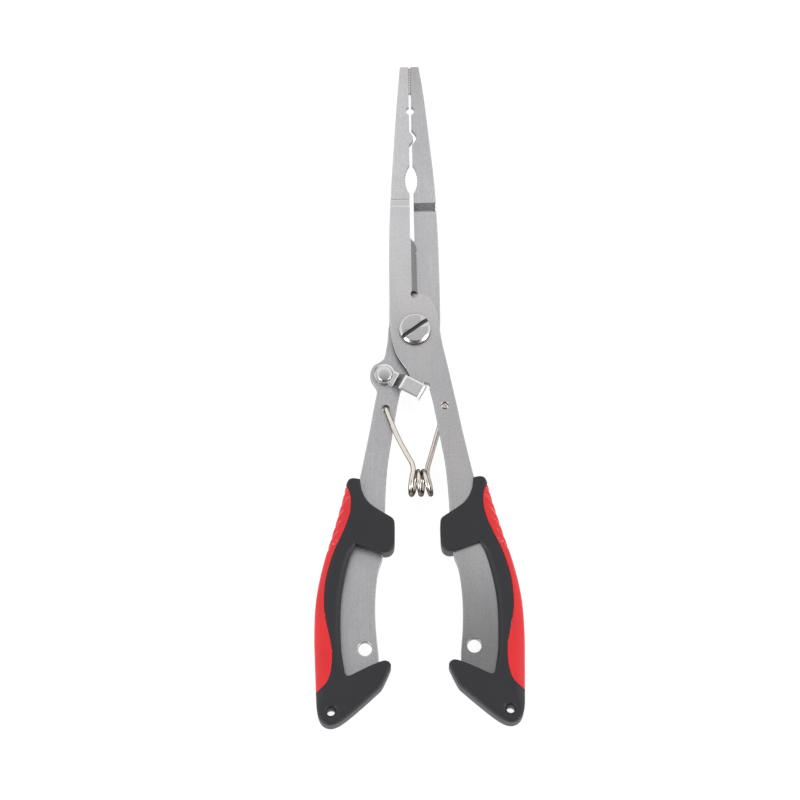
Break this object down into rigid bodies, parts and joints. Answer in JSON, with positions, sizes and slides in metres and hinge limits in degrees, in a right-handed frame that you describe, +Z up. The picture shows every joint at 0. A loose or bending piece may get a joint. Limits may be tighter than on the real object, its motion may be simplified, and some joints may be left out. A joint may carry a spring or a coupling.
{
  "type": "fishing pliers",
  "caption": "Long-nose fishing pliers with flat stainless levers, scissor cutter, coil spring, thumb latch and black and red moulded grips.",
  "frame": {"origin": "bottom centre of the bounding box, on the surface that the pliers lie on", "axes": "+Y along the tool towards the jaw tips, +X towards the front lever's handle, +Z up out of the front face"},
  "size_m": [0.067, 0.219, 0.01],
  "materials": {
    "lever_steel": "satin, lengthwise brushed stainless plate",
    "hardware_steel": "turned and lightly polished stainless",
    "latch_steel": "bright stamped sheet",
    "spring_wire": "bright drawn wire",
    "grip_black": "fine matte moulded",
    "inlay_red": "satin soft-touch with small slanted ribs"
  },
  "bodies": {
    "rear_half": {"rear_lever": "lever_steel", "left_grip": "grip_black", "left_inlay": "inlay_red", "pivot_screw": "hardware_steel", "pivot_washer": "hardware_steel", "pivot_nut": "hardware_steel", "latch_rivet": "hardware_steel", "latch_washer": "hardware_steel"},
    "front_half": {"front_lever": "lever_steel", "right_grip": "grip_black", "right_inlay": "inlay_red"},
    "latch": {"latch": "latch_steel"},
    "spring_left": {"spring_left_half": "spring_wire"},
    "spring_right": {"spring_right_half": "spring_wire"}
  },
  "joints": [
    {"name": "pivot", "type": "hinge", "parent": "rear_half", "child": "front_half", "pos_m": [0.0003, 0.01955, 0.005], "axis": [0, 0, 1], "range_deg": [0, 28], "deforming": ["spring_left_half", "spring_right_half"]},
    {"name": "latch_turn", "type": "hinge", "parent": "rear_half", "child": "latch", "pos_m": [-0.0098, 0.00525, 0.005], "axis": [0, 0, 1], "range_deg": [-24, 3.6]},
    {"name": "spring_left_turn", "type": "hinge", "parent": "rear_half", "child": "spring_left", "pos_m": [-0.00955, -0.006, 0.005], "axis": [0, 0, 1], "range_deg": [0, 27]},
    {"name": "spring_right_turn", "type": "hinge", "parent": "spring_left", "child": "spring_right", "pos_m": [0.0013, -0.03075, 0.005], "axis": [0, 0, 1], "range_deg": [-29, 0]}
  ],
  "couplings": [
    {"joint": "spring_left_turn", "follows": "pivot", "ratio": 0.96},
    {"joint": "spring_right_turn", "follows": "pivot", "ratio": -1.035}
  ]
}
